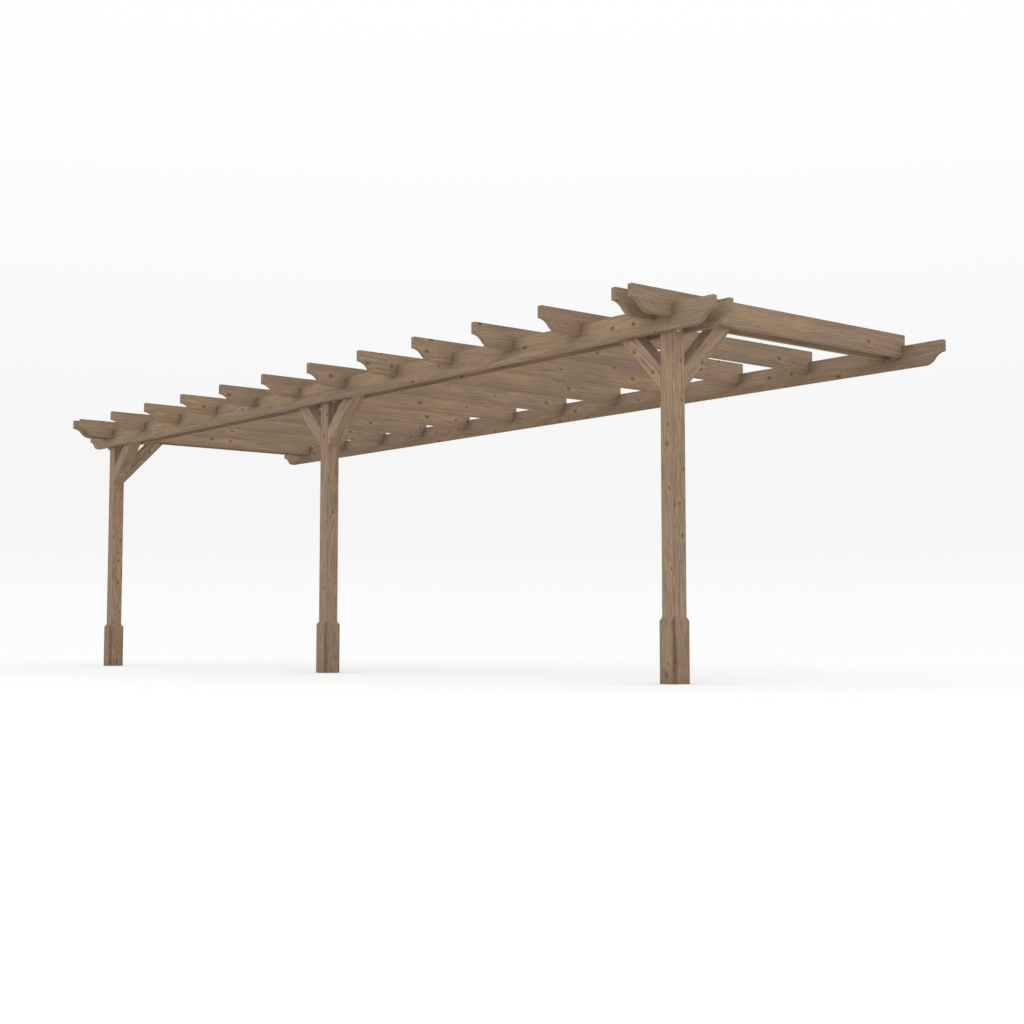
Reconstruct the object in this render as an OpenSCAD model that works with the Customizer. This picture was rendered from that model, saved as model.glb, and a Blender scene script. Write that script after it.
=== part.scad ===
// Lean-to pergola in planed softwood: three posts and a double beam in front,
// a ledger on the wall behind, and rafters notched over both.
// Origin: centre of the ledger's face against the wall. +X runs along the wall,
// +Y into the wall, +Z up. The middle post stands at X = 0.

/* [Frame] */
// Distance between the centres of neighbouring posts
post_spacing = 3510; // [2600:5:4200]
// Distance from the post centres to the wall
post_to_wall = 2012; // [1500:1:3000]
// Height from the ground to the underside of the beams
clear_height = 1957; // [1700:1:2600]
// How far the beams and the ledger run past the centres of the end posts
beam_overhang = 390; // [260:5:600]
// How far the rafters run past the post centres in front
rafter_overhang = 388; // [260:1:600]

/* [Timber] */
// Width of the square posts and braces
post_w = 95; // [80:1:120]
// Depth of the beams, the ledger and the rafters
timber_depth = 145; // [120:1:180]
// Thickness of the beams, the ledger and the rafters
timber_thickness = 35; // [28:1:50]
// Depth of the notches that seat the rafters on the beams and the ledger
notch_depth = 72.5; // [40:0.5:90]
// Play on each side of a beam in its notch
notch_play = 1; // [0.5:0.5:3]
// Length of the ogee cut at the ends of the beams and rafters
ogee_length = 150; // [100:5:170]
// Height of the ogee cut
ogee_height = 72.5; // [40:0.5:90]

/* [Braces] */
// How far below the beams the braces meet the posts
brace_drop = 320; // [180:5:420]
// How far the braces to the wall run up between their two rafters
brace_bite = 72.5; // [40:0.5:110]

/* [Post feet] */
// Height of the boards around the foot of a post
skirt_height = 370; // [200:5:500]
// Thickness of these boards, which are as wide as the post
skirt_thickness = 22; // [12:1:30]

/* [Post bolts] */
// Thread diameter of the bolt through the head of each post
bolt_d = 14; // [8:1:16]
// Extra diameter of the bolt's hole
bolt_play = 1; // [0.5:0.5:2]
// Height of the bolt above the underside of the beams
bolt_rise = 13; // [12:1:30]
// Width of the hexagon head and nut across the flats
hex_w = 22; // [13:1:24]
// Height of the hexagon head and nut
hex_height = 9; // [5:0.5:12]
// Diameter of the washers
washer_d = 28; // [24:1:30]
// Thickness of the washers
washer_thickness = 2.5; // [1.5:0.5:3]
// How far the bolt's end stands out of its nut
bolt_tip = 5; // [2:1:12]

/* [Hidden] */
$fn = 96;
RAFTERS = 14;
// Steps in each of the ogee's two arcs
OGEE_STEPS = 12;
SIDES = ["front", "right", "back", "left"];

WOOD = "#8c7760";
WOOD_LIGHT = "#99856c";
WOOD_DARK = "#7d6a55";
ZINC = "#9aa3ab";

beam_top = timber_depth / 2;
beam_bottom = -timber_depth / 2;
ground = beam_bottom - clear_height;
post_y = -post_to_wall;
post_half = post_w / 2;
beam_length = 2 * (post_spacing + beam_overhang);
rafter_bottom = beam_top - notch_depth;
rafter_length = post_to_wall + rafter_overhang;
// Centre of a rafter that lies against the side of an end post
pair_offset = (post_w + timber_thickness) / 2;
rafter_gap = (2 * post_spacing - 2 * pair_offset) / (RAFTERS - 3);
brace_foot = beam_bottom - brace_drop;
bolt_z = beam_bottom + bolt_rise;
brace_slope_w = post_w * sqrt(2);
// The ogee is two arcs of one radius that meet at half its height
ogee_radius = (pow(ogee_length, 2) + pow(ogee_height, 2)) / (4 * ogee_height);
ogee_angle = 2 * atan(ogee_height / ogee_length);

function post_x(place) = place * post_spacing;

function rafter_x(i) =
    i == 1 ? post_x(-1) - pair_offset :
    i == RAFTERS ? post_x(1) + pair_offset :
    post_x(-1) + pair_offset + (i - 2) * rafter_gap;

// Waste below the ogee at a timber's end: a hollow that runs into a round. x runs
// inwards from the timber's end and y up from its underside.
module ogee_waste() {
    hollow = [for (k = [0 : OGEE_STEPS]) let (a = ogee_angle * k / OGEE_STEPS)
        [ogee_radius * sin(a), ogee_height - ogee_radius * (1 - cos(a))]];
    rounded = [for (k = [OGEE_STEPS - 1 : -1 : 0]) let (a = ogee_angle * k / OGEE_STEPS)
        [ogee_length - ogee_radius * sin(a), ogee_radius * (1 - cos(a))]];
    polygon(concat([[0, 0]], hollow, rounded));
}

// Side outline of a beam or of the ledger, with an ogee at both ends
module beam_outline() {
    difference() {
        translate([-beam_length / 2, beam_bottom]) square([beam_length, timber_depth]);
        for (end = [0, 1]) {
            mirror([end, 0]) translate([-beam_length / 2, beam_bottom]) ogee_waste();
        }
    }
}

// Beam whose front face lies at y
module beam(y) {
    translate([0, y + timber_thickness, 0]) rotate([90, 0, 0])
        linear_extrude(timber_thickness) beam_outline();
}

// Slot that a beam with its front face at y fills in a rafter's outline
module notch(y) {
    translate([y - notch_play, rafter_bottom - 1])
        square([timber_thickness + 2 * notch_play, notch_depth + 1]);
}

// Side outline of a rafter: x is the model's Y and y is the model's Z
module rafter_outline() {
    difference() {
        translate([-rafter_length, rafter_bottom]) square([rafter_length, timber_depth]);
        translate([-rafter_length, rafter_bottom]) ogee_waste();
        notch(post_y - post_half - timber_thickness);
        notch(post_y + post_half);
        translate([-timber_thickness - notch_play, rafter_bottom - 1])
            square([timber_thickness + notch_play + 1, notch_depth + 1]);
    }
}

module rafter(i) {
    color(i % 2 == 0 ? WOOD : WOOD_LIGHT)
        translate([rafter_x(i) - timber_thickness / 2, 0, 0]) rotate([90, 0, 90])
            linear_extrude(timber_thickness) rafter_outline();
}

module beam_outer() {
    color(WOOD) beam(post_y - post_half - timber_thickness);
}

module beam_inner() {
    color(WOOD_LIGHT) beam(post_y + post_half);
}

module wall_ledger() {
    color(WOOD_DARK) beam(-timber_thickness);
}

// Cylinder or prism of diameter d from x1 to x2 along the bolt of a post
module along_bolt(place, x1, x2, d, sides) {
    translate([post_x(place) + x1, post_y, bolt_z]) rotate([0, 90, 0])
        cylinder(d = d, h = x2 - x1, $fn = sides);
}

module post(place) {
    color(WOOD_LIGHT) difference() {
        translate([post_x(place) - post_half, post_y - post_half, ground])
            cube([post_w, post_w, beam_top - ground]);
        along_bolt(place, -post_half - 1, post_half + 1, bolt_d + bolt_play, $fn);
    }
}

// Bolt through a post along X, with its head on the right and its nut on the left
module post_bolt(place) {
    washer_face = post_half + washer_thickness;
    bolt_end = washer_face + hex_height + bolt_tip;
    color(ZINC) {
        along_bolt(place, -bolt_end, washer_face, bolt_d, $fn);
        for (face = [[-washer_face, -post_half], [post_half, washer_face]]) {
            along_bolt(place, face[0], face[1], washer_d, $fn);
        }
        for (face = [-washer_face - hex_height, washer_face]) {
            along_bolt(place, face, face + hex_height, hex_w / cos(30), 6);
        }
    }
}

// Board against one side of a post's foot, bevelled at 45 degrees on top.
// side counts quarter turns from the front.
module skirt_board(place, side) {
    color(WOOD_DARK) translate([post_x(place), post_y, ground]) rotate([0, 0, 90 * side])
        translate([-post_half, -post_half, 0]) rotate([90, 0, 90])
            linear_extrude(post_w) polygon([
                [0, 0],
                [0, skirt_height],
                [-skirt_thickness, skirt_height - skirt_thickness],
                [-skirt_thickness, 0]
            ]);
}

// Brace at 45 degrees from a post's face up to the height top.
// x runs away from the post's face and y is the model's Z.
module brace_outline(top) {
    run = top - brace_foot;
    polygon([
        [0, brace_foot],
        [run, top],
        [run - brace_slope_w, top],
        [0, brace_foot + brace_slope_w]
    ]);
}

// Brace that leans along the beams, between them, up to the rafters' underside:
// way is 1 to the right and -1 to the left
module beam_brace(place, way) {
    color(WOOD) translate([post_x(place) + way * post_half, post_y + post_half, 0])
        mirror([way < 0 ? 1 : 0, 0, 0]) rotate([90, 0, 0])
            linear_extrude(post_w) brace_outline(rafter_bottom);
}

// Brace that leans from an end post towards the wall, between two rafters
module wall_brace(place) {
    color(WOOD) translate([post_x(place) - post_half, post_y + post_half, 0])
        rotate([90, 0, 90])
            linear_extrude(post_w) brace_outline(rafter_bottom + brace_bite);
}

post(-1);  // post_left
post(0);  // post_middle
post(1);  // post_right
for (side = [0 : 3]) {
    skirt_board(-1, side);
    skirt_board(0, side);
    skirt_board(1, side);
}
post_bolt(-1);  // bolt_left
post_bolt(0);  // bolt_middle
post_bolt(1);  // bolt_right
beam_outer();
beam_inner();
wall_ledger();
beam_brace(-1, 1);  // brace_left_to_right
wall_brace(-1);  // brace_left_to_wall
beam_brace(0, -1);  // brace_middle_to_left
beam_brace(0, 1);  // brace_middle_to_right
beam_brace(1, -1);  // brace_right_to_left
wall_brace(1);  // brace_right_to_wall
for (i = [1 : RAFTERS]) {
    rafter(i);
}
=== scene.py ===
import math
import random

import bmesh
import bpy
from mathutils import Euler, Matrix, Vector

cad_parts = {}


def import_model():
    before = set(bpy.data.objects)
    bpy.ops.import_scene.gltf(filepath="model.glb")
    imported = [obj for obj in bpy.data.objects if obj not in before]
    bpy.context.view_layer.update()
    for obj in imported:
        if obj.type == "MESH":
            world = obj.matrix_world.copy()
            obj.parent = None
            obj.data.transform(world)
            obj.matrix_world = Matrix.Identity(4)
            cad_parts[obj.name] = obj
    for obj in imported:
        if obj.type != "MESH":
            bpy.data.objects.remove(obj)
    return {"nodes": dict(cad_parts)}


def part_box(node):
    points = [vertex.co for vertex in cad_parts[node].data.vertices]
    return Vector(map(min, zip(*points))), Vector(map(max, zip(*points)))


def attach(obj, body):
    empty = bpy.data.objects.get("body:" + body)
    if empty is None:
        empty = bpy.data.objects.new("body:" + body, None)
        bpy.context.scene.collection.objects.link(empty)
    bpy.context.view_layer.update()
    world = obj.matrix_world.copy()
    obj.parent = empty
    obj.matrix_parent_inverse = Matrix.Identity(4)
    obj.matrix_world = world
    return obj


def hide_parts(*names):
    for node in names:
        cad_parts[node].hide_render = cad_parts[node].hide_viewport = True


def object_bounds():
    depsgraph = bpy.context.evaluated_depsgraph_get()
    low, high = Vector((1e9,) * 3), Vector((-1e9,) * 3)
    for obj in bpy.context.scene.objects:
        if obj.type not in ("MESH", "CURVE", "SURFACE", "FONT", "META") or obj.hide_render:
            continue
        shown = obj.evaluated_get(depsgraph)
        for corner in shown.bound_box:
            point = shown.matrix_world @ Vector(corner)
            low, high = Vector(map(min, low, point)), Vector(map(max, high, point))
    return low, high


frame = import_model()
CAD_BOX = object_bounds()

MM = 0.001
X, Y, Z = 0, 1, 2
LOW, HIGH = 0, 1            # the two corners of a box
SIDES = ("left", "middle", "right")
SKIRT_SIDES = ("front", "right", "back", "left")
RAFTERS = 14


# ---------------------------------------------------------------- node helpers

class Tree:
    """Adds and links nodes in one node tree."""

    def __init__(self, tree):
        self.tree = tree

    def add(self, kind, **settings):
        """A new node with its settings."""
        node = self.tree.nodes.new(kind)
        for name, value in settings.items():
            setattr(node, name, value)
        return node

    def feed(self, socket, value):
        """Links a value that is a socket, and sets any other."""
        if isinstance(value, bpy.types.NodeSocket):
            self.tree.links.new(value, socket)
        else:
            socket.default_value = value

    def math(self, operation, *values):
        node = self.add("ShaderNodeMath", operation=operation)
        for socket, value in zip(node.inputs, values):
            self.feed(socket, value)
        return node.outputs[0]

    def vector(self, operation, *values, out=0):
        node = self.add("ShaderNodeVectorMath", operation=operation)
        for socket, value in zip(node.inputs, values):
            self.feed(socket, value)
        return node.outputs[out]

    def split(self, vector):
        node = self.add("ShaderNodeSeparateXYZ")
        self.feed(node.inputs[0], vector)
        return node.outputs

    def join(self, x, y, z):
        node = self.add("ShaderNodeCombineXYZ")
        for socket, value in zip(node.inputs, (x, y, z)):
            self.feed(socket, value)
        return node.outputs[0]

    def ramp(self, value, low, high, start=0.0, end=1.0):
        """Smooth step of value from start at low to end at high."""
        node = self.add("ShaderNodeMapRange", interpolation_type="SMOOTHSTEP")
        for name, number in (("Value", value), ("From Min", low), ("From Max", high),
                             ("To Min", start), ("To Max", end)):
            self.feed(node.inputs[name], number)
        return node.outputs[0]

    def noise(self, vector, detail=2.0, roughness=0.5, scale=1.0, out="Fac"):
        node = self.add("ShaderNodeTexNoise")
        self.feed(node.inputs["Vector"], vector)
        node.inputs["Scale"].default_value = scale
        node.inputs["Detail"].default_value = detail
        node.inputs["Roughness"].default_value = roughness
        return node.outputs[out]

    def mix(self, amount, first, second):
        """Mix of two colours, which are sockets 6 and 7 of the node."""
        node = self.add("ShaderNodeMix", data_type="RGBA")
        self.feed(node.inputs["Factor"], amount)
        self.feed(node.inputs[6], first)
        self.feed(node.inputs[7], second)
        return node.outputs[2]

    def choose(self, amount, first, second):
        """Mix of two numbers, which are sockets 2 and 3 of the node."""
        node = self.add("ShaderNodeMix", data_type="FLOAT")
        self.feed(node.inputs["Factor"], amount)
        self.feed(node.inputs[2], first)
        self.feed(node.inputs[3], second)
        return node.outputs[0]


def srgb(red, green, blue):
    """Linear colour of an 8-bit screen colour."""
    def linear(level):
        level = level / 255
        return level / 12.92 if level <= 0.04045 else ((level + 0.055) / 1.055) ** 2.4
    return (linear(red), linear(green), linear(blue), 1.0)


def new_group(name, inputs, outputs):
    """Shader node group with named sockets; returns its Tree, inputs and outputs."""
    group = bpy.data.node_groups.new(name, "ShaderNodeTree")
    for label, kind, default in inputs:
        socket = group.interface.new_socket(label, in_out="INPUT", socket_type="NodeSocket" + kind)
        if default is not None:
            socket.default_value = default
    for label, kind in outputs:
        group.interface.new_socket(label, in_out="OUTPUT", socket_type="NodeSocket" + kind)
    tree = Tree(group)
    source = tree.add("NodeGroupInput").outputs
    target = tree.add("NodeGroupOutput").inputs
    return group, tree, source, target


def new_material(name):
    """Material with its Tree and its shader."""
    material = bpy.data.materials.new(name)
    material.use_nodes = True
    return material, Tree(material.node_tree), material.node_tree.nodes["Principled BSDF"]


def bumped(t, shader, height, strength, distance):
    """Gives a shader the relief of a height."""
    bump = t.add("ShaderNodeBump")
    bump.inputs["Strength"].default_value = strength
    bump.inputs["Distance"].default_value = distance
    t.feed(bump.inputs["Height"], height)
    t.feed(shader.inputs["Normal"], bump.outputs["Normal"])


def placed(name, data):
    """Object of the scene made from a mesh, camera or lamp."""
    piece = bpy.data.objects.new(name, data)
    bpy.context.scene.collection.objects.link(piece)
    return piece


# ---------------------------------------------------------------- wood

LOG_SPREAD = 40.0           # metres of pattern that the timbers are spread over
FACE_SPREAD = 4.7           # metres of pattern between the knots of two faces
OTHER_PAIR = 7.0            # sets the faces across z apart from those across y
JOINT_SHADE_REACH = 0.12          # how far the painted shade spreads from a lap along a timber


def knot_group():
    """Knots on the faces of a timber, and how far they push the grain aside."""
    group, t, given, result = new_group(
        "knots",
        [("Along", "Float", 0.0), ("Across", "Float", 0.0), ("Spacing", "Float", 0.2),
         ("Row width", "Float", 0.075), ("Share", "Float", 0.6), ("Largest", "Float", 0.009)],
        [("Core", "Float"), ("Rim", "Float"), ("Halo", "Float"), ("Flame", "Float"),
         ("Push", "Float")])
    scaled = t.join(t.math("DIVIDE", given["Along"], given["Spacing"]),
                    t.math("DIVIDE", given["Across"], given["Row width"]), 0.0)
    cells = t.add("ShaderNodeTexVoronoi", voronoi_dimensions="2D", feature="F1")
    t.feed(cells.inputs["Vector"], scaled)
    cells.inputs["Scale"].default_value = 1.0
    cells.inputs["Randomness"].default_value = 0.85
    away = t.split(t.vector("SUBTRACT", scaled, cells.outputs["Position"]))
    pick = t.split(cells.outputs["Color"])
    along = t.math("MULTIPLY", away[0], given["Spacing"])
    across = t.math("MULTIPLY", away[1], given["Row width"])
    # A knot is drawn out along the grain by 1.1 to 1.8, and its outline wavers
    stretch = t.math("MULTIPLY_ADD", pick[2], 0.7, 1.1)
    distance = t.math("SQRT", t.math("ADD",
                                     t.math("POWER", t.math("DIVIDE", along, stretch), 2.0),
                                     t.math("POWER", across, 2.0)))
    outline = t.noise(t.join(given["Along"], given["Across"], 0.0), detail=1.0, scale=65.0)
    distance = t.math("MULTIPLY", distance, t.math("MULTIPLY_ADD", outline, 0.9, 0.55))
    size = t.math("MULTIPLY", given["Largest"],
                  t.math("MULTIPLY_ADD", pick[0], 0.55, 0.45))
    present = t.math("LESS_THAN", pick[1], given["Share"])
    ratio = t.math("DIVIDE", distance, size)
    core = t.math("MULTIPLY", t.ramp(ratio, 0.6, 1.15, 1.0, 0.0), present)
    rim = t.math("MULTIPLY", t.ramp(ratio, 0.6, 0.92), t.ramp(ratio, 0.95, 1.2, 1.0, 0.0))
    # Year rings of the branch, and a crack across its heart
    years = t.math("SINE", t.math("MULTIPLY", ratio, 26.0))
    years = t.math("MULTIPLY", t.ramp(years, 0.2, 1.0, 0.0, 0.45), t.ramp(ratio, 0.9, 1.0, 1.0, 0.0))
    turned = t.math("ARCTAN2", across, along)
    lean = t.math("SINE", t.math("ADD", turned, t.math("MULTIPLY", pick[0], 3.0)))
    heart = t.ramp(t.math("ABSOLUTE", t.math("MULTIPLY", lean, ratio)), 0.02, 0.1, 0.8, 0.0)
    heart = t.math("MULTIPLY", heart, t.ramp(ratio, 0.45, 0.7, 1.0, 0.0))
    rim = t.math("MAXIMUM", rim, t.math("MAXIMUM", years, heart))
    rim = t.math("MULTIPLY", rim, present)
    halo = t.math("MULTIPLY", t.ramp(ratio, 0.9, 3.0, 1.0, 0.0), present)
    # The fibres part round the knot: strongest at its edge, gone some widths away
    reach = t.math("DIVIDE", along, t.math("MULTIPLY", size, 4.5))
    fade = t.math("EXPONENT", t.math("MULTIPLY", t.math("POWER", reach, 2.0), -1.0))
    side = t.math("DIVIDE", across, t.math("MULTIPLY", size, 2.2))
    bell = t.math("EXPONENT", t.math("MULTIPLY", t.math("POWER", side, 2.0), -1.0))
    flame = t.math("MULTIPLY", t.math("MULTIPLY", bell, fade), present)
    bell = t.math("MULTIPLY", side, bell)
    push = t.math("MULTIPLY", t.math("MULTIPLY", bell, fade), t.math("MULTIPLY", size, 2.0))
    t.feed(result["Core"], core)
    t.feed(result["Rim"], rim)
    t.feed(result["Halo"], halo)
    t.feed(result["Flame"], flame)
    t.feed(result["Push"], t.math("MULTIPLY", push, present))
    return group


def figure_group():
    """Growth rings, streaks, fibres and patches of a timber sawn from a wavy log."""
    group, t, given, result = new_group(
        "sawn_figure",
        [("Along", "Float", 0.0), ("Y", "Float", 0.0), ("Z", "Float", 0.0),
         ("Heart Y", "Float", 0.0), ("Heart Z", "Float", 0.0), ("Ring width", "Float", 0.008),
         ("Wave", "Float", 1.0), ("Pace", "Float", 1.0)],
        [("Late wood", "Float"), ("Streak", "Float"), ("Fibre", "Float"), ("Patches", "Vector"),
         ("Drift", "Float"), ("Fleck", "Float")])

    def grain(along, across, detail=2.0, roughness=0.5, out="Fac"):
        """Noise that changes so many times a metre along and across the grain."""
        spot = t.join(t.math("MULTIPLY", x, along), t.math("MULTIPLY", y, across),
                      t.math("MULTIPLY", z, across))
        return t.noise(spot, detail=detail, roughness=roughness, out=out)

    # Pace shortens or draws out all figure along the grain, apart from the rings
    x, y, z = given["Along"], given["Y"], given["Z"]
    slow = t.split(t.vector("SUBTRACT", grain(1.3, 4.0, 1.0, out="Color"), (0.5, 0.5, 0.5)))
    quick = t.split(t.vector("SUBTRACT", grain(4.5, 11.0, 1.0, out="Color"), (0.5, 0.5, 0.5)))
    for bends, size in ((slow, 0.1), (quick, 0.035)):
        size = t.math("MULTIPLY", given["Wave"], size)
        y = t.math("MULTIPLY_ADD", bends[0], size, y)
        z = t.math("MULTIPLY_ADD", bends[1], size, z)

    from_heart_y = t.math("SUBTRACT", y, given["Heart Y"])
    from_heart_z = t.math("SUBTRACT", z, given["Heart Z"])
    radius = t.math("SQRT", t.math("ADD", t.math("POWER", from_heart_y, 2.0),
                                   t.math("POWER", from_heart_z, 2.0)))
    # A log tapers, so a board's face crosses its rings
    radius = t.math("MULTIPLY_ADD", x, t.math("MULTIPLY", given["Wave"], 0.02), radius)
    turn = t.math("FRACT", t.math("DIVIDE", radius, given["Ring width"]))
    late = t.math("MULTIPLY", t.ramp(turn, 0.3, 0.85), t.ramp(turn, 0.88, 1.0, 1.0, 0.0))
    uneven = t.noise(t.join(t.math("MULTIPLY", x, 2.5), t.math("MULTIPLY", radius, 70.0), 0.0),
                     detail=1.0)
    t.feed(result["Late wood"], t.math("MULTIPLY", late, t.ramp(uneven, 0.3, 0.68, 0.15, 1.0)))
    x = t.math("MULTIPLY", x, given["Pace"])
    t.feed(result["Streak"], grain(5.5, 105.0, 3.0, 0.65))
    t.feed(result["Fibre"], grain(16.0, 480.0, 2.0))
    t.feed(result["Patches"], grain(3.6, 17.0, 2.0, 0.55, out="Color"))
    t.feed(result["Drift"], grain(0.8, 5.0, 1.0))
    # Short marks across the grain, in clusters where the fibres were torn by the saw
    torn = t.ramp(grain(3.0, 20.0, 1.0), 0.56, 0.74)
    t.feed(result["Fleck"], t.math("MULTIPLY", torn, t.ramp(grain(190.0, 85.0, 1.0), 0.48, 0.62)))
    return group


def softwood_group(knots, figure):
    """Weathered softwood from a timber's own axes: x along the grain, y and z across it."""
    colours = ("Light", "Middle", "Dark", "Ochre", "Olive", "Rose", "Ring colour", "Knot colour",
               "Rim colour", "Edge colour", "Grey")
    group, t, given, result = new_group(
        "weathered_softwood",
        [("Timber", "Vector", None), ("Half size", "Vector", None), ("Grain", "Vector", None),
         ("Log", "Vector", None)] + [(label, "Color", None) for label in colours]
        + [("Ring width", "Float", 0.008), ("Wave", "Float", 1.0), ("Pace", "Float", 1.0),
           ("Contrast", "Float", 1.0), ("Centre band", "Float", 0.0), ("Knot share", "Float", 0.6),
           ("Largest knot", "Float", 0.009), ("Fleck share", "Float", 0.3),
           ("Darker from", "Float", -10.0), ("Joint shade", "Float", 0.0)],
        [("Colour", "Color"), ("Roughness", "Float"), ("Height", "Float")])
    place = t.split(given["Timber"])
    half = t.split(given["Half size"])
    log = t.split(given["Log"])
    x = t.math("MULTIPLY_ADD", log[0], LOG_SPREAD, place[0])

    # Which pair of faces this point is on: those across y or those across z
    beside_y = t.math("DIVIDE", t.math("ABSOLUTE", place[1]), half[1])
    beside_z = t.math("DIVIDE", t.math("ABSOLUTE", place[2]), half[2])
    on_y = t.math("GREATER_THAN", beside_y, beside_z)
    off_y = t.math("SUBTRACT", 1.0, on_y)
    beyond = t.math("ADD", t.math("SIGN", place[2]), OTHER_PAIR)
    side = t.choose(on_y, beyond, t.math("SIGN", place[1]))

    spots = t.add("ShaderNodeGroup", node_tree=knots)
    t.feed(spots.inputs["Along"], t.math("MULTIPLY_ADD", side, FACE_SPREAD, x))
    t.feed(spots.inputs["Across"], t.choose(on_y, place[1], place[2]))
    t.feed(spots.inputs["Share"], given["Knot share"])
    t.feed(spots.inputs["Largest"], given["Largest knot"])

    # The figure, with the grain pushed aside by the knots
    push = spots.outputs["Push"]
    sawn = t.add("ShaderNodeGroup", node_tree=figure)
    t.feed(sawn.inputs["Along"], x)
    t.feed(sawn.inputs["Y"], t.math("SUBTRACT", place[1], t.math("MULTIPLY", off_y, push)))
    t.feed(sawn.inputs["Z"], t.math("SUBTRACT", place[2], t.math("MULTIPLY", on_y, push)))
    t.feed(sawn.inputs["Heart Y"], log[1])
    t.feed(sawn.inputs["Heart Z"], log[2])
    for label in ("Ring width", "Wave", "Pace"):
        t.feed(sawn.inputs[label], given[label])
    late, streak = sawn.outputs["Late wood"], sawn.outputs["Streak"]
    fibre, drift = sawn.outputs["Fibre"], sawn.outputs["Drift"]
    fleck = sawn.outputs["Fleck"]
    patches = t.split(sawn.outputs["Patches"])

    # End grain shows on faces that the grain runs into
    facing = t.add("ShaderNodeTexCoord").outputs["Normal"]
    end = t.math("ABSOLUTE", t.vector("DOT_PRODUCT", facing, given["Grain"], out=1))
    end = t.ramp(end, 0.3, 0.95)
    off_end = t.math("SUBTRACT", 1.0, end)

    def toned(value, low, high, start=1.0, end=0.0):
        return t.math("MULTIPLY", t.ramp(value, low, high, start, end), given["Contrast"])

    colour = t.mix(toned(streak, 0.34, 0.52), given["Middle"], given["Dark"])
    colour = t.mix(toned(streak, 0.5, 0.68, 0.0, 1.0), colour, given["Light"])
    # A board sawn beside the heart is pale along its middle and dull towards its edges
    beside = t.math("MINIMUM", beside_y, beside_z)
    beside = t.math("ADD", beside, t.math("MULTIPLY_ADD", drift, 1.6, -0.8))
    band = t.math("MULTIPLY", t.ramp(beside, 0.1, 0.55, 1.0, 0.0), given["Centre band"])
    dull = t.math("MULTIPLY", t.ramp(beside, 0.4, 0.95), given["Centre band"])
    colour = t.mix(t.math("MULTIPLY", band, 0.5), colour, given["Light"])
    colour = t.mix(t.math("MULTIPLY", dull, 0.4), colour, given["Dark"])
    colour = t.mix(t.ramp(patches[0], 0.48, 0.68, 0.0, 0.65), colour, given["Ochre"])
    colour = t.mix(t.ramp(patches[1], 0.48, 0.68, 0.0, 0.6), colour, given["Olive"])
    colour = t.mix(t.ramp(patches[2], 0.5, 0.7, 0.0, 0.35), colour, given["Rose"])
    colour = t.mix(t.ramp(drift, 0.45, 0.7, 0.0, 0.4), colour, given["Grey"])
    colour = t.mix(t.math("MULTIPLY", end, 0.6), colour, given["Middle"])
    ring = t.math("MULTIPLY", late, t.math("MULTIPLY", given["Contrast"], 0.65))
    colour = t.mix(ring, colour, given["Ring colour"])
    colour = t.mix(t.math("MULTIPLY", t.ramp(fibre, 0.35, 0.65, 0.0, 0.36), off_end), colour,
                   given["Dark"])
    colour = t.mix(t.math("MULTIPLY", t.math("MULTIPLY", fleck, off_end), given["Fleck share"]),
                   colour, given["Ring colour"])

    # Fine drying cracks along the grain
    y, z = place[1], place[2]
    crack_field = t.noise(t.join(t.math("MULTIPLY", x, 2.2), t.math("MULTIPLY", y, 95.0),
                                 t.math("MULTIPLY", z, 95.0)), detail=0.0)
    crack_zone = t.noise(t.join(t.math("MULTIPLY", x, 1.7), t.math("MULTIPLY", y, 11.0),
                                t.math("MULTIPLY", z, 11.0)), detail=0.0, scale=1.3)
    crack = t.ramp(t.math("ABSOLUTE", t.math("SUBTRACT", crack_field, 0.5)), 0.0, 0.012, 1.0, 0.0)
    crack = t.math("MULTIPLY", t.math("MULTIPLY", crack, t.ramp(crack_zone, 0.6, 0.72)), off_end)

    # Arrises darkened by handling and damp, with a bruise here and there
    gap_y = t.math("SUBTRACT", half[1], t.math("ABSOLUTE", y))
    gap_z = t.math("SUBTRACT", half[2], t.math("ABSOLUTE", z))
    from_edge = t.math("MAXIMUM", gap_y, gap_z)
    ragged = t.noise(t.join(t.math("MULTIPLY", x, 9.0), t.math("MULTIPLY", y, 60.0),
                            t.math("MULTIPLY", z, 60.0)), detail=3.0)
    reach = t.ramp(ragged, 0.3, 0.75, 0.002, 0.011)
    edge = t.ramp(t.math("DIVIDE", from_edge, reach), 0.35, 1.0, 0.5, 0.0)
    colour = t.mix(edge, colour, given["Edge colour"])

    # End grain drinks more and weathers darker, with cracks that run out from the heart
    turned = t.math("ARCTAN2", t.math("SUBTRACT", z, log[2]), t.math("SUBTRACT", y, log[1]))
    spoke = t.noise(t.join(t.math("MULTIPLY", turned, 9.0), log[0], 0.0), detail=2.0)
    spoke = t.ramp(t.math("ABSOLUTE", t.math("SUBTRACT", spoke, 0.5)), 0.0, 0.03, 1.0, 0.0)
    split_end = t.math("MULTIPLY", t.math("MULTIPLY", spoke, end), t.ramp(drift, 0.35, 0.6))
    colour = t.mix(t.math("MULTIPLY", end, 0.3), colour, given["Dark"])
    crack = t.math("MAXIMUM", crack, t.math("MULTIPLY", split_end, 0.7))

    core = t.math("MULTIPLY", spots.outputs["Core"], off_end)
    rim = t.math("MULTIPLY", spots.outputs["Rim"], off_end)
    halo = t.math("MULTIPLY", spots.outputs["Halo"], off_end)
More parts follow.
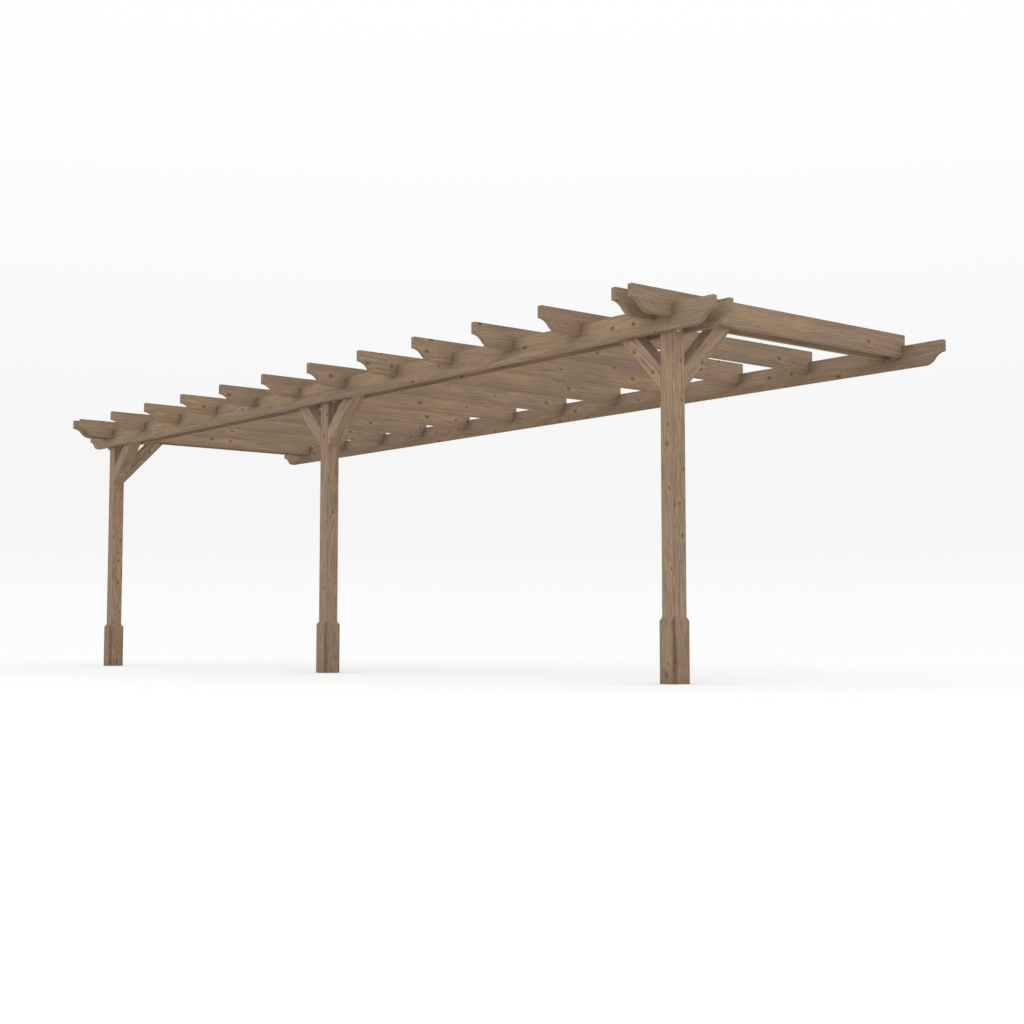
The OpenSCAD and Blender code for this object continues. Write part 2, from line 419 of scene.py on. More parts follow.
    # The grain is ochre where it runs up to a knot, in streaks
    flame = t.math("MULTIPLY", spots.outputs["Flame"], off_end)
    flame = t.math("MULTIPLY", flame, t.ramp(streak, 0.4, 0.58, 0.2, 0.85))
    colour = t.mix(flame, colour, given["Ochre"])
    colour = t.mix(t.math("MULTIPLY", halo, 0.4), colour, given["Edge colour"])
    colour = t.mix(t.math("MULTIPLY", core, 0.75), colour, given["Knot colour"])
    colour = t.mix(t.math("MULTIPLY", rim, 0.6), colour, given["Rim colour"])
    colour = t.mix(t.math("MULTIPLY", crack, 0.75), colour, given["Rim colour"])

    # The foot of a board is darker, up to a ragged height
    height = t.split(t.add("ShaderNodeTexCoord").outputs["Object"])[2]
    above = t.math("SUBTRACT", height, given["Darker from"])
    dark_height = t.math("MULTIPLY_ADD", drift, 0.12, t.math("MULTIPLY", streak, 0.05))
    foot_darkening = t.ramp(t.math("DIVIDE", above, dark_height), 0.0, 1.0, 0.45, 0.0)
    colour = t.mix(foot_darkening, colour, given["Dark"])

    # Painted shade in the corners where timbers meet, broken up by the streaks
    joint_shade = t.math("MULTIPLY", given["Joint shade"], t.math("MULTIPLY_ADD", streak, 0.7, 0.35))
    colour = t.mix(joint_shade, colour, given["Rim colour"])

    # Tops catch the rain and the sun, and turn silver
    up = t.split(facing)[2]
    silver = t.math("MULTIPLY", t.ramp(up, 0.5, 0.95), t.ramp(drift, 0.25, 0.65, 0.2, 0.6))
    colour = t.mix(silver, colour, given["Grey"])
    t.feed(result["Colour"], colour)

    rough = t.math("MULTIPLY_ADD", fibre, 0.12, t.math("MULTIPLY_ADD", late, -0.08, 0.76))
    t.feed(result["Roughness"], t.math("MULTIPLY_ADD", core, -0.12, rough))
    relief = t.math("MULTIPLY_ADD", fibre, 0.35, t.math("MULTIPLY", late, 0.45))
    relief = t.math("MULTIPLY_ADD", core, 0.5, relief)
    t.feed(result["Height"], t.math("MULTIPLY_ADD", crack, -1.6, relief))
    return group


WOOD_COLOURS = {
    "Light": srgb(181, 156, 127), "Middle": srgb(154, 132, 107), "Dark": srgb(122, 101, 82),
    "Ochre": srgb(171, 144, 112), "Olive": srgb(139, 124, 102), "Rose": srgb(154, 122, 103),
    "Ring colour": srgb(110, 86, 65), "Knot colour": srgb(99, 79, 57),
    "Rim colour": srgb(68, 54, 42), "Edge colour": srgb(124, 97, 71), "Grey": srgb(137, 121, 108)}


def near_steps(t, value, steps, reach):
    """1 where value is at one of the steps, fading to 0 at the reach from it."""
    nearest = None
    for step in steps:
        away = t.math("ABSOLUTE", t.math("SUBTRACT", value, step))
        nearest = away if nearest is None else t.math("MINIMUM", nearest, away)
    return t.ramp(nearest, 0.0, reach, 1.0, 0.0)


def joint_painted_shade(t, axis, steps, strength, low, high):
    """Painted shade where the place along an axis meets a step, between the heights low and high."""
    place = t.split(t.add("ShaderNodeTexCoord").outputs["Object"])
    near = near_steps(t, place[axis], steps, JOINT_SHADE_REACH)
    level = t.math("MULTIPLY", t.ramp(place[2], low - 0.045, low + 0.02),
                   t.ramp(place[2], high - 0.01, high + 0.025, 1.0, 0.0))
    return t.math("MULTIPLY", t.math("MULTIPLY", near, level), strength)


def wood(name, group, tone=1.0, ring_width=0.008, wave=1.0, pace=1.0, contrast=1.0, band=0.0,
         knot_share=0.55, largest=0.009, flecks=0.3, darker_from=-10.0, joints=None):
    """One timber's finish: the shared softwood with its own tone and figure."""
    material, t, shader = new_material(name)
    figure = t.add("ShaderNodeGroup", node_tree=group)
    for label, attribute in (("Timber", "timber"), ("Half size", "half_size"),
                             ("Grain", "grain"), ("Log", "log")):
        node = t.add("ShaderNodeAttribute", attribute_name=attribute)
        t.feed(figure.inputs[label], node.outputs["Vector"])
    for label, value in WOOD_COLOURS.items():
        figure.inputs[label].default_value = [level * tone for level in value[:3]] + [1.0]
    for label, value in (("Ring width", ring_width), ("Wave", wave), ("Pace", pace),
                         ("Contrast", contrast), ("Centre band", band),
                         ("Knot share", knot_share), ("Largest knot", largest),
                         ("Fleck share", flecks), ("Darker from", darker_from)):
        figure.inputs[label].default_value = value
    # Painted shade in the corners where other timbers meet this one
    if joints:
        t.feed(figure.inputs["Joint shade"], joint_painted_shade(t, *joints))
    t.feed(shader.inputs["Base Color"], figure.outputs["Colour"])
    t.feed(shader.inputs["Roughness"], figure.outputs["Roughness"])
    shader.inputs["Specular IOR Level"].default_value = 0.25
    bumped(t, shader, figure.outputs["Height"], strength=0.6, distance=0.6 * MM)
    return material


# ---------------------------------------------------------------- zinc

def zinc_group():
    """Dulled zinc: mottled crystals, handling marks and a bloom of white oxide."""
    group, t, given, result = new_group(
        "dulled_zinc",
        [("Bright", "Color", None), ("Dull", "Color", None), ("Oxide", "Color", None)],
        [("Colour", "Color"), ("Roughness", "Float"), ("Height", "Float")])
    place = t.add("ShaderNodeTexCoord").outputs["Object"]
    crystal = t.add("ShaderNodeTexVoronoi", feature="F1")
    t.feed(crystal.inputs["Vector"], place)
    crystal.inputs["Scale"].default_value = 420.0
    tint = t.split(crystal.outputs["Color"])[0]
    bloom = t.noise(place, detail=4.0, roughness=0.65, scale=140.0)
    rub = t.noise(place, detail=2.0, scale=900.0)
    colour = t.mix(tint, given["Bright"], given["Dull"])
    white = t.ramp(bloom, 0.5, 0.72)
    colour = t.mix(t.math("MULTIPLY", white, 0.55), colour, given["Oxide"])
    t.feed(result["Colour"], colour)
    rough = t.math("MULTIPLY_ADD", white, 0.3, t.math("MULTIPLY_ADD", tint, 0.12, 0.32))
    t.feed(result["Roughness"], rough)
    t.feed(result["Height"], t.math("MULTIPLY_ADD", rub, 0.4, t.math("MULTIPLY", white, 0.6)))
    return group


def zinc(name, group, bright, dull, oxide):
    """Plated steel with its own colours."""
    material, t, shader = new_material(name)
    shader.inputs["Metallic"].default_value = 0.85
    skin = t.add("ShaderNodeGroup", node_tree=group)
    for label, value in (("Bright", bright), ("Dull", dull), ("Oxide", oxide)):
        skin.inputs[label].default_value = value
    t.feed(shader.inputs["Base Color"], skin.outputs["Colour"])
    t.feed(shader.inputs["Roughness"], skin.outputs["Roughness"])
    bumped(t, shader, skin.outputs["Height"], strength=0.4, distance=0.1 * MM)
    return material


# ---------------------------------------------------------------- timbers

EASE = 1.6 * MM             # rounding of the arrises
MERGE = 1e-5
SHANK_SHARE = 0.4           # radius below a countersunk head as a share of the head's
HEAD_SHARE = 0.6            # its depth as a share of its radius: a 90 degree cone


def solid_copy(node, ease):
    """A merged copy of a node's mesh with its outward edges rounded by ease."""
    form = bmesh.new()
    form.from_mesh(frame["nodes"][node].data)
    bmesh.ops.remove_doubles(form, verts=form.verts, dist=MERGE)
    bmesh.ops.dissolve_limit(form, angle_limit=math.radians(0.5), verts=form.verts, edges=form.edges)
    arrises = [e for e in form.edges
               if len(e.link_faces) == 2 and e.is_convex and e.calc_face_angle() > math.radians(30)]
    bmesh.ops.bevel(form, geom=arrises, offset=ease, segments=2, profile=0.5, affect="EDGES",
                    clamp_overlap=True)
    return form


def countersunk(mesh, seats, width):
    """The mesh with a 90 degree seat, width across at the surface, cut at each (point, way)."""
    mouth = width / 2
    shank = mouth * SHANK_SHARE
    above = 1 * MM
    cutter = bmesh.new()
    for point, way in seats:
        middle = Vector(point) + Vector(way) * (above - (mouth - shank)) / 2
        turn = Vector((0, 0, 1)).rotation_difference(Vector(way)).to_matrix().to_4x4()
        bmesh.ops.create_cone(cutter, cap_ends=True, cap_tris=False, segments=24, radius1=shank,
                              radius2=mouth + above, depth=mouth - shank + above,
                              matrix=Matrix.Translation(middle) @ turn)
    wood_object = placed("wood", mesh)
    cutter_object = placed("cutter", bpy.data.meshes.new("cutter"))
    cutter.to_mesh(cutter_object.data)
    cutter.free()
    cut = wood_object.modifiers.new("seats", "BOOLEAN")
    cut.operation = "DIFFERENCE"
    cut.solver = "EXACT"
    cut.object = cutter_object
    ready = wood_object.evaluated_get(bpy.context.evaluated_depsgraph_get())
    result = bpy.data.meshes.new_from_object(ready)
    result.name = mesh.name
    for tool in (wood_object, cutter_object):
        data = tool.data
        bpy.data.objects.remove(tool)
        bpy.data.meshes.remove(data)
    return result


def timber(node, material, along, across, seed, heart, seats=(), seat_width=0):
    """The visible timber of a CAD node, with its own axes as attributes for the wood.

    along is the direction of the grain and across that of one side of the section. seed picks
    its stretch of the pattern, and heart is the middle of its log from the middle of the timber."""
    form = solid_copy(node, EASE)
    mesh = bpy.data.meshes.new(node + "_timber")
    form.to_mesh(mesh)
    form.free()
    if seats:
        mesh = countersunk(mesh, seats, seat_width)
    along = Vector(along).normalized()
    across = Vector(across).normalized()
    third = along.cross(across)
    spots = [(v.co.dot(along), v.co.dot(across), v.co.dot(third)) for v in mesh.vertices]
    low = [min(s[k] for s in spots) for k in range(3)]
    high = [max(s[k] for s in spots) for k in range(3)]
    middle = [(a + b) / 2 for a, b in zip(low, high)]
    half = [(b - a) / 2 for a, b in zip(low, high)]
    values = {"timber": [[s[k] - middle[k] for k in range(3)] for s in spots],
              "half_size": [half] * len(spots),
              "grain": [along] * len(spots),
              "log": [(seed, heart[0], heart[1])] * len(spots)}
    for name, rows in values.items():
        attribute = mesh.attributes.new(name, "FLOAT_VECTOR", "POINT")
        attribute.data.foreach_set("vector", [n for row in rows for n in row])
    mesh.materials.append(material)
    piece = placed(node + "_timber", mesh)
    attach(piece, "root")
    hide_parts(node)


softwood = softwood_group(knot_group(), figure_group())
GROUND = CAD_BOX[LOW][Z]
# Where rafters and beams meet: the painted shade in the corners of their laps lies here
BEAM_FACES = [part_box("beam_outer")[LOW][Y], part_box("beam_inner")[HIGH][Y],
              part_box("wall_ledger")[LOW][Y]]
RAFTER_SIDES = [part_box(f"rafter_{n}")[k][X] for n in range(1, RAFTERS + 1) for k in (LOW, HIGH)]
LAP = (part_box("rafter_1")[LOW][Z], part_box("beam_outer")[HIGH][Z])
board = {"wave": 0.35, "pace": 0.6, "contrast": 0.65, "band": 0.38, "largest": 0.0118, "flecks": 0.55}
post_wood = wood("post_wood", softwood, tone=1.04, ring_width=0.011, contrast=0.85)
brace_wood = wood("brace_wood", softwood, tone=1.11, ring_width=0.011, wave=0.6)
skirt_wood = wood("skirt_wood", softwood, tone=0.96, wave=0.7, darker_from=GROUND)
# Beams, ledger and rafters carry painted shade where they meet
beam_wood = wood("beam_wood", softwood, tone=1.01, knot_share=0.15,
                 joints=(X, RAFTER_SIDES, 0.5, *LAP), **board)
ledger_wood = wood("ledger_wood", softwood, tone=0.89, knot_share=0.25,
                   joints=(X, RAFTER_SIDES, 0.45, *LAP), **board)
rafter_wood = wood("rafter_wood", softwood, tone=0.975, knot_share=0.19,
                   joints=(Y, BEAM_FACES, 0.15, *LAP), **board)

SCREW_WIDTH = 12 * MM       # head of a timber screw
SMALL_SCREW_WIDTH = 9 * MM
PIN_WIDTH = 3.6 * MM        # head of a nail in a skirt board
SUNK = 0.6 * MM             # how far a head lies below the wood
PAIR_APART = 22 * MM        # half the distance between a pair of screws along the beam
PAIR_STEP = 14 * MM         # half their difference in height
NAIL_FROM_FOOT = 45 * MM
NAIL_FROM_TOP = 60 * MM
NAIL_FROM_EDGE = 20 * MM
POST_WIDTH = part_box("post_middle")[HIGH][X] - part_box("post_middle")[LOW][X]


def middle(node):
    """Middle of a node's box."""
    low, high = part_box(node)
    return [(a + b) / 2 for a, b in zip(low, high)]


def rafter_seats(node):
    """One screw down through a rafter into each beam and into the ledger."""
    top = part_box(node)[HIGH][Z]
    return [((middle(node)[X], middle(beam)[Y], top), (0, 0, 1))
            for beam in ("beam_outer", "beam_inner", "wall_ledger")]


def beam_seats():
    """Pairs of screws through the inner beam's rear face into the posts and the braces."""
    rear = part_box("beam_inner")[HIGH][Y]
    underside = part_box("beam_inner")[LOW][Z]
    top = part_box("brace_middle_to_left")[HIGH][Z]
    reach = POST_WIDTH * math.sqrt(2) / 2
    level = (top + underside) / 2
    spots = [middle("post_" + place)[X] for place in SIDES]
    for brace in ("left_to_right", "middle_to_right"):
        spots.append(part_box("brace_" + brace)[HIGH][X] - reach - (top - underside) / 2)
    for brace in ("middle_to_left", "right_to_left"):
        spots.append(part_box("brace_" + brace)[LOW][X] + reach + (top - underside) / 2)
    return [((x + way * PAIR_APART, rear, level + way * PAIR_STEP), (0, 1, 0))
            for x in spots for way in (-1, 1)]


def skirt_seats(node, post_node, across):
    """Four nails through a board's outer face, two near its top and two near its foot."""
    low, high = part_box(node)
    post = middle(post_node)
    out = Y if across == X else X
    way = [0, 0, 0]
    way[out] = 1 if middle(node)[out] > post[out] else -1
    seats = []
    for level in (low[Z] + NAIL_FROM_FOOT, high[Z] - NAIL_FROM_TOP):
        for edge in (low[across] + NAIL_FROM_EDGE, high[across] - NAIL_FROM_EDGE):
            point = [0, 0, level]
            point[across] = edge
            point[out] = high[out] if way[out] > 0 else low[out]
            seats.append((tuple(point), tuple(way)))
    return seats


luck = random.Random(7)


def heart_in_line():
    """The heart of the log lies about in line with the timber."""
    return luck.uniform(-0.03, 0.03)


def heart_beside():
    """The heart of the log lies well to one side of a board."""
    return luck.uniform(0.05, 0.09)


def heart_off_corner():
    """The heart of the log lies off a corner of a post."""
    return luck.choice((-1, 1)) * luck.uniform(0.05, 0.08)


screws, pins = [], []
for place in SIDES:
    timber("post_" + place, post_wood, (0, 0, 1), (1, 0, 0), luck.random(),
           (heart_off_corner(), heart_off_corner()))
    for side in SKIRT_SIDES:
        flat = X if side in ("front", "back") else Y
        seats = skirt_seats(f"skirt_{place}_{side}", "post_" + place, flat)
        pins += seats
        timber(f"skirt_{place}_{side}", skirt_wood, (0, 0, 1),
               (1, 0, 0) if flat == X else (0, 1, 0), luck.random(),
               (heart_in_line(), heart_beside()), seats=seats, seat_width=PIN_WIDTH + 2 * SUNK)
small_screws = beam_seats()
for name, slot, material, seats in (("beam_outer", "beams", beam_wood, ()),
                                    ("beam_inner", "beams", beam_wood, small_screws),
                                    ("wall_ledger", "ledger", ledger_wood, ())):
    timber(name, material, (1, 0, 0), (0, 1, 0), luck.random(),
           (heart_beside(), heart_in_line()), seats=seats,
           seat_width=SMALL_SCREW_WIDTH + 2 * SUNK)
for number in range(1, RAFTERS + 1):
    seats = rafter_seats(f"rafter_{number}")
    screws += seats
    timber(f"rafter_{number}", rafter_wood, (0, 1, 0), (1, 0, 0), luck.random(),
           (heart_beside(), heart_in_line()), seats=seats, seat_width=SCREW_WIDTH + 2 * SUNK)
BRACES = {"left_to_right": (1, 0, 1), "left_to_wall": (0, 1, 1), "middle_to_left": (-1, 0, 1),
          "middle_to_right": (1, 0, 1), "right_to_left": (-1, 0, 1), "right_to_wall": (0, 1, 1)}
for name, along in BRACES.items():
    across = (0, 1, 0) if along[X] else (1, 0, 0)
    timber("brace_" + name, brace_wood, along, across, luck.random(),
           (heart_in_line(), heart_in_line()))


# ---------------------------------------------------------------- fixings by Geometry Nodes

BOLT_WIDTH = 14 * MM
THREAD_CORE = 12.1 * MM
TIP = 5 * MM                # how far the bolt stands out of its nut
TIP_CHAMFER = 1 * MM


def fixing_tree(name, sizes):
    """Geometry tree with named sizes; returns it with its inputs, its output and its points."""
    group = bpy.data.node_groups.new(name, "GeometryNodeTree")
    face = group.interface
    face.new_socket("Geometry", in_out="INPUT", socket_type="NodeSocketGeometry")
    for label, size in sizes.items():
        face.new_socket(label, in_out="INPUT", socket_type="NodeSocketFloat").default_value = size
    face.new_socket("Seed", in_out="INPUT", socket_type="NodeSocketInt").default_value = 3
    face.new_socket("Steel", in_out="INPUT", socket_type="NodeSocketMaterial")
    face.new_socket("Geometry", in_out="OUTPUT", socket_type="NodeSocketGeometry")
    tree = Tree(group)
    return tree, tree.add("NodeGroupInput").outputs, tree.add("NodeGroupOutput").inputs


def place_on_points(t, given, result, part):
    """Ends a tree: its part on every point, along the point's way and turned by chance."""
    way = t.add("GeometryNodeInputNamedAttribute", data_type="FLOAT_VECTOR")
    way.inputs["Name"].default_value = "way"
    aim = t.add("FunctionNodeAlignRotationToVector", axis="Z")
    t.feed(aim.inputs["Vector"], way.outputs["Attribute"])
    chance = t.add("FunctionNodeRandomValue", data_type="FLOAT")
    t.feed(chance.inputs["Seed"], given["Seed"])
    spin = t.add("FunctionNodeAxisAngleToRotation")
    spin.inputs["Axis"].default_value = (0.0, 0.0, 1.0)
    t.feed(spin.inputs["Angle"], t.math("MULTIPLY", chance.outputs[1], 2 * math.pi))
    turn = t.add("FunctionNodeRotateRotation", rotation_space="LOCAL")
    t.feed(turn.inputs["Rotation"], aim.outputs["Rotation"])
    t.feed(turn.inputs["Rotate By"], spin.outputs["Rotation"])
    copies = t.add("GeometryNodeInstanceOnPoints")
    t.feed(copies.inputs["Points"], given["Geometry"])
    t.feed(copies.inputs["Instance"], part)
    t.feed(copies.inputs["Rotation"], turn.outputs["Rotation"])
    real = t.add("GeometryNodeRealizeInstances")
    t.feed(real.inputs["Geometry"], copies.outputs["Instances"])
    steel = t.add("GeometryNodeSetMaterial")
    t.feed(steel.inputs["Geometry"], real.outputs["Geometry"])
    t.feed(steel.inputs["Material"], given["Steel"])
    t.feed(result["Geometry"], steel.outputs["Geometry"])


def moved(t, part, x=0.0, y=0.0, z=0.0):
    """The part shifted by x, y and z."""
    shift = t.add("GeometryNodeTransform")
    t.feed(shift.inputs["Geometry"], part)
    t.feed(shift.inputs["Translation"], t.join(x, y, z))
    return shift.outputs["Geometry"]


def screw_tree():
    """Countersunk heads with a six-lobed recess; the top of a head is at its point."""
    t, given, result = fixing_tree("screw_heads", {"Width": SCREW_WIDTH, "Drive": 5 * MM,
                                                   "Drive depth": 2 * MM})
    radius = t.math("MULTIPLY", given["Width"], 0.5)
    depth = t.math("MULTIPLY", radius, HEAD_SHARE)
    head = t.add("GeometryNodeMeshCone")
    head.inputs["Vertices"].default_value = 24
    t.feed(head.inputs["Radius Top"], radius)
    t.feed(head.inputs["Radius Bottom"], t.math("MULTIPLY", radius, SHANK_SHARE))
    t.feed(head.inputs["Depth"], depth)
    head = moved(t, head.outputs["Mesh"], z=t.math("MULTIPLY", depth, -1.0))
    lobes = t.add("GeometryNodeCurveStar")
    lobes.inputs["Points"].default_value = 6
    t.feed(lobes.inputs["Outer Radius"], t.math("MULTIPLY", given["Drive"], 0.5))
    t.feed(lobes.inputs["Inner Radius"], t.math("MULTIPLY", given["Drive"], 0.36))
    path = t.add("GeometryNodeCurvePrimitiveLine")
    t.feed(path.inputs["Start"], t.join(0.0, 0.0, t.math("MULTIPLY", given["Drive depth"], -1.0)))
    t.feed(path.inputs["End"], t.join(0.0, 0.0, given["Drive depth"]))
    punch = t.add("GeometryNodeCurveToMesh")
    t.feed(punch.inputs["Curve"], path.outputs["Curve"])
    t.feed(punch.inputs["Profile Curve"], lobes.outputs["Curve"])
    punch.inputs["Fill Caps"].default_value = True
    cut = t.add("GeometryNodeMeshBoolean", operation="DIFFERENCE")
    t.feed(cut.inputs["Mesh 1"], head)
    t.feed(cut.inputs["Mesh 2"], punch.outputs["Mesh"])
    place_on_points(t, given, result, cut.outputs["Mesh"])
    return t.tree


def pin_tree():
    """Slightly domed nail heads; the top of a head is at its point."""
    t, given, result = fixing_tree("pin_heads", {"Width": PIN_WIDTH, "Dome": 0.3 * MM})
    radius = t.math("MULTIPLY", given["Width"], 0.5)
    shank = t.add("GeometryNodeMeshCone")
    shank.inputs["Vertices"].default_value = 16
    t.feed(shank.inputs["Radius Top"], radius)
    t.feed(shank.inputs["Radius Bottom"], t.math("MULTIPLY", radius, SHANK_SHARE))
    depth = t.math("MULTIPLY", radius, HEAD_SHARE)
    t.feed(shank.inputs["Depth"], depth)
    down = t.math("MULTIPLY", t.math("ADD", depth, given["Dome"]), -1.0)
    dome = t.add("GeometryNodeMeshCone")
    dome.inputs["Vertices"].default_value = 16
    t.feed(dome.inputs["Radius Top"], t.math("MULTIPLY", radius, 0.6))
    t.feed(dome.inputs["Radius Bottom"], radius)
    t.feed(dome.inputs["Depth"], given["Dome"])
    both = t.add("GeometryNodeJoinGeometry")
    for piece in (moved(t, shank.outputs["Mesh"], z=down),
                  moved(t, dome.outputs["Mesh"], z=t.math("MULTIPLY", given["Dome"], -1.0))):
        t.feed(both.inputs["Geometry"], piece)
    place_on_points(t, given, result, both.outputs["Geometry"])
    return t.tree


def thread_tree():
    """Screw threads: a ridge swept along a helix that rises from its point."""
    t, given, result = fixing_tree("bolt_threads", {"Core": THREAD_CORE, "Pitch": 2 * MM,
                                                    "Length": TIP, "Ridge": 1.15 * MM})
    helix = t.add("GeometryNodeCurveSpiral")
    helix.inputs["Resolution"].default_value = 36
    t.feed(helix.inputs["Rotations"], t.math("DIVIDE", given["Length"], given["Pitch"]))
    for label in ("Start Radius", "End Radius"):
        t.feed(helix.inputs[label], t.math("MULTIPLY", given["Core"], 0.5))
    t.feed(helix.inputs["Height"], given["Length"])
    ridge = t.add("GeometryNodeCurvePrimitiveCircle")
    ridge.inputs["Resolution"].default_value = 4
    t.feed(ridge.inputs["Radius"], t.math("MULTIPLY", given["Ridge"], 0.75))
    sweep = t.add("GeometryNodeCurveToMesh")
    t.feed(sweep.inputs["Curve"], helix.outputs["Curve"])
    t.feed(sweep.inputs["Profile Curve"], ridge.outputs["Curve"])
    sweep.inputs["Fill Caps"].default_value = True
    place_on_points(t, given, result, sweep.outputs["Mesh"])
    return t.tree


def fixings(name, tree, seats, steel, sunk=0.0, **sizes):
    """One mesh of the tree's part at every (point, way), riding on the frame."""
    points = bpy.data.meshes.new(name)
    points.from_pydata([Vector(point) - Vector(way) * sunk for point, way in seats], [], [])
    ways = points.attributes.new("way", "FLOAT_VECTOR", "POINT")
    ways.data.foreach_set("vector", [n for point, way in seats for n in way])
    piece = placed(name, points)
    growth = piece.modifiers.new("growth", "NODES")
    growth.node_group = tree
    wanted = dict(sizes, Steel=steel)
    for socket in tree.interface.items_tree:
        if socket.in_out == "INPUT" and socket.name in wanted:
            growth[socket.identifier] = wanted[socket.name]
    ready = piece.evaluated_get(bpy.context.evaluated_depsgraph_get())
    mesh = bpy.data.meshes.new_from_object(ready)
    piece.modifiers.remove(growth)
    piece.data = mesh
    mesh.name = name
    bpy.data.meshes.remove(points)
    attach(piece, "root")


metal = zinc_group()
bolt_steel = zinc("bolt_zinc", metal, srgb(214, 219, 223), srgb(186, 193, 199), srgb(214, 216, 216))
screw_steel = zinc("screw_zinc", metal, srgb(150, 146, 138), srgb(118, 114, 106),
                   srgb(170, 164, 152))
screw_heads = screw_tree()
fixings("rafter_screws", screw_heads, screws, screw_steel, SUNK)
fixings("beam_screws", screw_heads, small_screws, screw_steel, SUNK,
        Width=SMALL_SCREW_WIDTH, Drive=4 * MM)
fixings("skirt_pins", pin_tree(), pins, screw_steel, SUNK)


# ---------------------------------------------------------------- bolts

TURN = 72                   # points round a turned form
HEX_ACROSS = 22 * MM        # head and nut across their flats
HEX_HEIGHT = 9 * MM
HEX_FACE = 0.94 * HEX_ACROSS / 2        # radius of the turned face of a head or nut
CHAMFER_FROM = 0.97 * HEX_ACROSS / 2    # radius at which its corners begin to slope
WASHER_THICKNESS = 2.5 * MM
WASHER_RIM = 0.35 * MM
DISH = 0.3 * MM             # hollow in the top of a head
MOUTH = 0.8 * MM            # chamfer round the thread of a nut


def hexagon(angle):
    """Distance from the middle of the head to its side at an angle."""
    sixth = math.pi / 3
    return HEX_ACROSS / 2 / math.cos((angle + sixth / 2) % sixth - sixth / 2)


def chamfer(angle):
    """How far the corners of the head are turned away at an angle."""
    return (hexagon(angle) - CHAMFER_FROM) * math.tan(math.radians(30))


def turned(form, centre, start, way, rings):
    """Closed skin round the X axis through rings of (distance along way, radius).

    Either may be a function of the angle."""
    rows = []
    for along, radius in rings:
        row = []
        for k in range(TURN):
            angle = 2 * math.pi * k / TURN
            reach = along(angle) if callable(along) else along
            wide = radius(angle) if callable(radius) else radius
            row.append(form.verts.new((start + way * reach, centre[1] + wide * math.cos(angle),
                                       centre[2] + wide * math.sin(angle))))
        rows.append(row)
    for low, high in zip(rows, rows[1:]):
        for k in range(TURN):
            after = (k + 1) % TURN
            form.faces.new((low[k], low[after], high[after], high[k]))
    form.faces.new(rows[0])
    form.faces.new(rows[-1])


def washer(form, centre, face, way, width):
    """Washer with both its rims eased."""
    radius = width / 2
    turned(form, centre, face, way,
           [(0.0, radius - WASHER_RIM), (WASHER_RIM, radius),
            (WASHER_THICKNESS - WASHER_RIM, radius), (WASHER_THICKNESS, radius - WASHER_RIM)])


def head(form, centre, face, way):
    """Hexagon head with a washer face below and a turned chamfer on top."""
    turned(form, centre, face, way,
           [(0.0, HEX_FACE), (0.5 * MM, HEX_FACE), (0.5 * MM, hexagon),
            (lambda angle: HEX_HEIGHT - chamfer(angle), hexagon), (HEX_HEIGHT, HEX_FACE),
            (HEX_HEIGHT - DISH, 0.6 * HEX_ACROSS / 2), (HEX_HEIGHT - DISH, 0.1 * MM)])


def nut(form, centre, face, way):
    """Hexagon nut chamfered on both faces, with a countersunk mouth round the thread."""
    bore = BOLT_WIDTH / 2
    turned(form, centre, face, way,
           [(0.0, HEX_FACE), (chamfer, hexagon),
            (lambda angle: HEX_HEIGHT - chamfer(angle), hexagon), (HEX_HEIGHT, HEX_FACE),
            (HEX_HEIGHT, bore + MOUTH), (HEX_HEIGHT - MOUTH, bore - 0.5 * MM)])


def bolt(place):
    """Bolt through a post, head on the right and nut on the left; returns its thread's seat."""
    node = "bolt_" + place
    low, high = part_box(node)
    centre = middle(node)
    left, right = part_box("post_" + place)[LOW][X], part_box("post_" + place)[HIGH][X]
    form = bmesh.new()
    washer(form, centre, right, 1, high[Z] - low[Z])
    washer(form, centre, left, -1, high[Z] - low[Z])
    head(form, centre, right + WASHER_THICKNESS, 1)
    nut(form, centre, left - WASHER_THICKNESS, -1)
    core = THREAD_CORE / 2
    turned(form, centre, low[X], 1,
           [(0.0, core - TIP_CHAMFER), (TIP_CHAMFER, core),
            (right - low[X] + WASHER_THICKNESS, core)])
    bmesh.ops.recalc_face_normals(form, faces=form.faces)
    mesh = bpy.data.meshes.new(node + "_hardware")
    form.to_mesh(mesh)
    form.free()
    mesh.materials.append(bolt_steel)
    piece = placed(mesh.name, mesh)
    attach(piece, "root")
    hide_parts(node)
    return ((low[X] + TIP, centre[Y], centre[Z]), (-1, 0, 0))


tips = [bolt(place) for place in SIDES]
fixings("bolt_threads", thread_tree(), tips, bolt_steel, Length=TIP - TIP_CHAMFER)


# ---------------------------------------------------------------- camera, light and floor

CAMERA_PLACE = (9.7413, -8.2879, -1.7670)
CAMERA_RISE = 4.471         # degrees it looks up
CAMERA_TURN = 50.62         # degrees it is turned left from facing the wall
CAMERA_LENS = 55.84         # mm, on a 36 mm sensor
STUDIO_LIGHT = 1.1
WALL_FOOT = 0.975           # brightness of the studio wall where it meets the floor
WALL_LOW = 0.915            # a little above that
WALL_RISE = 0.085           # what it gains towards its top
FLOOR_SEEN = (0.88, 0.88, 0.88, 1)
FLOOR_AS_LIGHT = (0.64, 0.635, 0.625, 1)


def camera():
    """The camera, from below and to the right of the frame."""
    data = bpy.data.cameras.new("camera")
    data.lens = CAMERA_LENS
    data.sensor_width = 36.0
    data.clip_end = 200.0
    eye = placed("camera", data)
    eye.location = CAMERA_PLACE
    eye.rotation_euler = Euler((math.radians(90 + CAMERA_RISE), 0.0, math.radians(CAMERA_TURN)))
    bpy.context.scene.camera = eye


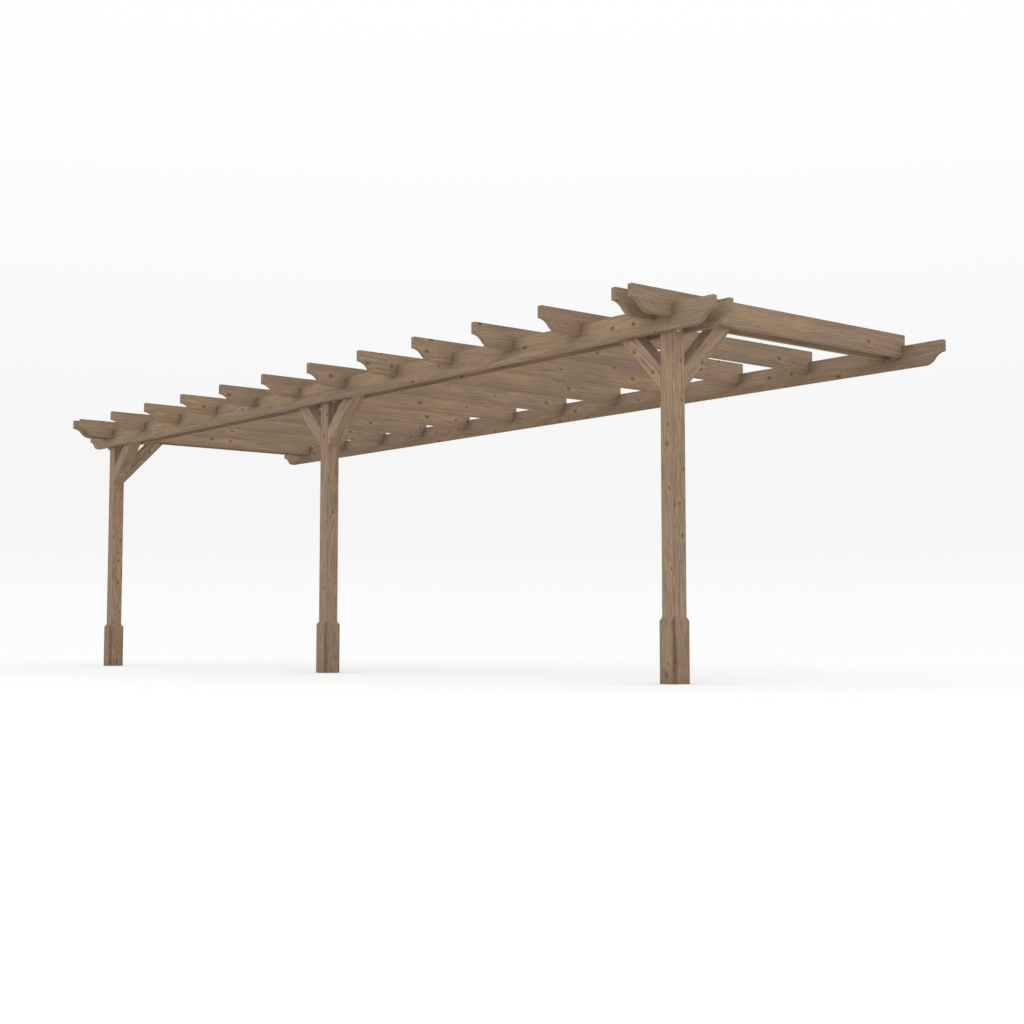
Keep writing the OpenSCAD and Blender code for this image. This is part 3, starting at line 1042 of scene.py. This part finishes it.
def softbox(name, spot, target, width, height, power):
    """Rectangular lamp at spot that faces target."""
    data = bpy.data.lights.new(name, "AREA")
    data.shape = "RECTANGLE"
    data.size = width
    data.size_y = height
    data.energy = power
    lamp = placed(name, data)
    lamp.location = spot
    lamp.rotation_euler = (Vector(target) - Vector(spot)).to_track_quat("-Z", "Y").to_euler()


def seen(t):
    """1 for rays that come from the camera, a mirror or glass, and 0 for those that light."""
    path = t.add("ShaderNodeLightPath")
    direct = t.math("MAXIMUM", path.outputs["Is Camera Ray"], path.outputs["Is Glossy Ray"])
    return t.math("MAXIMUM", direct, path.outputs["Is Transmission Ray"])


def world(strength):
    """Even white light; the camera, mirrors and glass see a pale studio wall."""
    scene = bpy.context.scene
    scene.world = bpy.data.worlds.new("studio")
    scene.world.use_nodes = True
    t = Tree(scene.world.node_tree)
    back = scene.world.node_tree.nodes["Background"]
    back.inputs["Color"].default_value = (1.0, 1.0, 1.0, 1.0)
    height = t.split(t.add("ShaderNodeTexCoord").outputs["Generated"])[2]
    wall = t.choose(t.ramp(height, 0.0, 0.08), WALL_FOOT, WALL_LOW)
    wall = t.math("ADD", wall, t.ramp(height, 0.05, 0.4, 0.0, WALL_RISE))
    t.feed(back.inputs["Strength"], t.choose(seen(t), strength, wall))


def floor(ground):
    """Pale floor: white to the camera and to mirrors, a little darker as a light."""
    bpy.ops.mesh.primitive_circle_add(vertices=64, radius=60.0, fill_type="NGON", location=(0, 0, 0))
    plane = bpy.context.object
    plane.name = "floor"
    for v in plane.data.vertices:
        v.co.z = ground
    material, t, shader = new_material("floor")
    t.feed(shader.inputs["Base Color"], t.mix(seen(t), FLOOR_AS_LIGHT, FLOOR_SEEN))
    shader.inputs["Roughness"].default_value = 1.0
    shader.inputs["Specular IOR Level"].default_value = 0.0
    plane.data.materials.append(material)


camera()
world(STUDIO_LIGHT)
floor(GROUND)
softbox("key", spot=(14.0, -18.0, 8.0), target=(0.0, -1.2, -1.0), width=14.0, height=9.0, power=600.0)
bpy.context.scene.view_settings.view_transform = "Standard"
